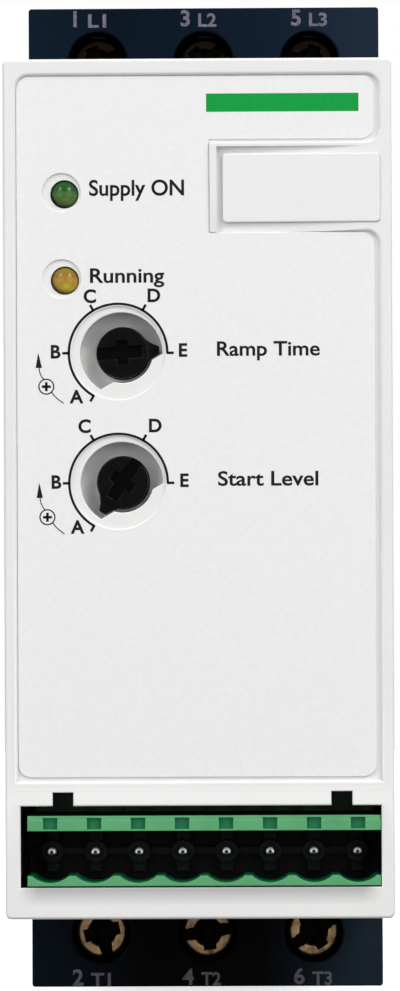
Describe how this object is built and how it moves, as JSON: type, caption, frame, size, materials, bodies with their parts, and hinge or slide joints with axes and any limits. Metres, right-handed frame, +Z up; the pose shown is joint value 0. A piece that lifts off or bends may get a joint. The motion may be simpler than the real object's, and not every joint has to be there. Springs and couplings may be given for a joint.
{
  "type": "soft starter",
  "caption": "Narrow rail-mounted motor soft starter: dark base with screw clamps top and bottom, light front box with lamps, setting knobs and a pluggable control header.",
  "frame": {"origin": "on the rear mounting plane, at the centre line of the rail pocket and the middle of the width", "axes": "+X to the right seen from the front, +Y to the rear into the panel, +Z up"},
  "size_m": [0.045, 0.1305, 0.124],
  "materials": {
    "base_plastic": "moulded, fine grain, dark blue-grey",
    "cover_plastic": "moulded, fine grain, warm white",
    "label_film": "printed film with a fine orange-peel texture",
    "marker_plastic": "smooth moulded white",
    "clip_plastic": "moulded dark grey",
    "spring_steel": "drawn wire",
    "heatsink_aluminium": "extruded, mill finish",
    "fastener_steel": "zinc plated",
    "thermal_pad": "silicone pad",
    "module_plastic": "moulded black",
    "board_laminate": "green solder mask on glass laminate",
    "spacer_brass": "turned",
    "relay_plastic": "moulded dark grey",
    "core_iron": "laminated sheet",
    "coil_tape": "insulating tape",
    "capacitor_sleeve": "shrink sleeve",
    "varistor_coat": "dipped coating",
    "ribbon_sheath": "flat cable sheath",
    "trimmer_plastic": "moulded blue",
    "knob_plastic": "smooth moulded black",
    "lamp_green": "tinted clear epoxy, unlit",
    "lamp_amber": "tinted clear epoxy, unlit",
    "header_plastic": "moulded green",
    "carrier_plastic": "moulded black",
    "pin_tin": "tin plated",
    "cage_steel": "zinc plated",
    "screw_bronze": "yellow chromated steel",
    "busbar_copper": "copper strip, light tarnish"
  },
  "bodies": {
    "housing": {"base_housing": "base_plastic", "front_cover": "cover_plastic", "front_label": "label_film", "marker_plate": "marker_plastic", "clip_spring": "spring_steel", "heatsink": "heatsink_aluminium", "heatsink_screws": "fastener_steel", "thermal_pad_1": "thermal_pad", "thermal_pad_2": "thermal_pad", "thyristor_module_1": "module_plastic", "thyristor_module_2": "module_plastic", "module_screws": "fastener_steel", "busbar_l1": "busbar_copper", "busbar_l2": "busbar_copper", "busbar_l3": "busbar_copper", "busbar_t1": "busbar_copper", "busbar_t3": "busbar_copper", "busbar_screws": "fastener_steel", "power_board": "board_laminate", "board_screws": "fastener_steel", "board_spacers": "spacer_brass", "spacer_screws": "fastener_steel", "bypass_relay_1": "relay_plastic", "bypass_relay_2": "relay_plastic", "transformer_core": "core_iron", "transformer_coil": "coil_tape", "capacitor_1": "capacitor_sleeve", "capacitor_2": "capacitor_sleeve", "varistor_l1": "varistor_coat", "varistor_l2": "varistor_coat", "varistor_l3": "varistor_coat", "link_socket_rear": "module_plastic", "link_socket_front": "module_plastic", "ribbon_cable": "ribbon_sheath", "control_board": "board_laminate", "controller_chip": "module_plastic", "trimmer_body_time": "trimmer_plastic", "trimmer_body_level": "trimmer_plastic", "led_green": "lamp_green", "led_yellow": "lamp_amber", "header_shroud": "header_plastic", "pin_carrier": "carrier_plastic", "header_pins": "pin_tin"},
    "time_knob": {"time_knob": "knob_plastic"},
    "level_knob": {"level_knob": "knob_plastic"},
    "din_clip": {"din_clip": "clip_plastic"},
    "clamp_cage_l1": {"clamp_cage_l1": "cage_steel"},
    "clamp_cage_l2": {"clamp_cage_l2": "cage_steel"},
    "clamp_cage_l3": {"clamp_cage_l3": "cage_steel"},
    "clamp_cage_t1": {"clamp_cage_t1": "cage_steel"},
    "clamp_cage_t2": {"clamp_cage_t2": "cage_steel"},
    "clamp_cage_t3": {"clamp_cage_t3": "cage_steel"},
    "clamp_screw_l1": {"clamp_screw_l1": "screw_bronze"},
    "clamp_screw_l2": {"clamp_screw_l2": "screw_bronze"},
    "clamp_screw_l3": {"clamp_screw_l3": "screw_bronze"},
    "clamp_screw_t1": {"clamp_screw_t1": "screw_bronze"},
    "clamp_screw_t2": {"clamp_screw_t2": "screw_bronze"},
    "clamp_screw_t3": {"clamp_screw_t3": "screw_bronze"}
  },
  "joints": [
    {"name": "time_knob_turn", "type": "hinge", "parent": "housing", "child": "time_knob", "pos_m": [-0.00877, -0.127, 0.01575], "axis": [0, -1, 0], "range_deg": [0, 232]},
    {"name": "level_knob_turn", "type": "hinge", "parent": "housing", "child": "level_knob", "pos_m": [-0.00877, -0.127, 0.00075], "axis": [0, -1, 0], "range_deg": [-232, 0]},
    {"name": "din_clip_slide", "type": "slide", "parent": "housing", "child": "din_clip", "axis": [0, 0, -1], "range_m": [0, 0.0045], "stiffness_N_per_m": 400, "springref_m": -0.005, "deforming": ["clip_spring"]},
    {"name": "clamp_screw_l1_turn", "type": "hinge", "parent": "housing", "child": "clamp_screw_l1", "pos_m": [-0.01345, -0.06, 0.0553], "axis": [0, 1, 0], "range_deg": [0, 1954.3]},
    {"name": "clamp_cage_l1_slide", "type": "slide", "parent": "housing", "child": "clamp_cage_l1", "axis": [0, -1, 0], "range_m": [0, 0.0038]},
    {"name": "clamp_screw_l2_turn", "type": "hinge", "parent": "housing", "child": "clamp_screw_l2", "pos_m": [0, -0.06, 0.0553], "axis": [0, 1, 0], "range_deg": [0, 1954.3]},
    {"name": "clamp_cage_l2_slide", "type": "slide", "parent": "housing", "child": "clamp_cage_l2", "axis": [0, -1, 0], "range_m": [0, 0.0038]},
    {"name": "clamp_screw_l3_turn", "type": "hinge", "parent": "housing", "child": "clamp_screw_l3", "pos_m": [0.01345, -0.06, 0.0553], "axis": [0, 1, 0], "range_deg": [0, 1954.3]},
    {"name": "clamp_cage_l3_slide", "type": "slide", "parent": "housing", "child": "clamp_cage_l3", "axis": [0, -1, 0], "range_m": [0, 0.0038]},
    {"name": "clamp_screw_t1_turn", "type": "hinge", "parent": "housing", "child": "clamp_screw_t1", "pos_m": [-0.01345, -0.06, -0.0553], "axis": [0, 1, 0], "range_deg": [0, 1954.3]},
    {"name": "clamp_cage_t1_slide", "type": "slide", "parent": "housing", "child": "clamp_cage_t1", "axis": [0, -1, 0], "range_m": [0, 0.0038]},
    {"name": "clamp_screw_t2_turn", "type": "hinge", "parent": "housing", "child": "clamp_screw_t2", "pos_m": [0, -0.06, -0.0553], "axis": [0, 1, 0], "range_deg": [0, 1954.3]},
    {"name": "clamp_cage_t2_slide", "type": "slide", "parent": "housing", "child": "clamp_cage_t2", "axis": [0, -1, 0], "range_m": [0, 0.0038]},
    {"name": "clamp_screw_t3_turn", "type": "hinge", "parent": "housing", "child": "clamp_screw_t3", "pos_m": [0.01345, -0.06, -0.0553], "axis": [0, 1, 0], "range_deg": [0, 1954.3]},
    {"name": "clamp_cage_t3_slide", "type": "slide", "parent": "housing", "child": "clamp_cage_t3", "axis": [0, -1, 0], "range_m": [0, 0.0038]}
  ],
  "couplings": [
    {"joint": "clamp_screw_l1_turn", "follows": "clamp_cage_l1_slide", "rad_per_m": 8976},
    {"joint": "clamp_screw_l2_turn", "follows": "clamp_cage_l2_slide", "rad_per_m": 8976},
    {"joint": "clamp_screw_l3_turn", "follows": "clamp_cage_l3_slide", "rad_per_m": 8976},
    {"joint": "clamp_screw_t1_turn", "follows": "clamp_cage_t1_slide", "rad_per_m": 8976},
    {"joint": "clamp_screw_t2_turn", "follows": "clamp_cage_t2_slide", "rad_per_m": 8976},
    {"joint": "clamp_screw_t3_turn", "follows": "clamp_cage_t3_slide", "rad_per_m": 8976}
  ]
}
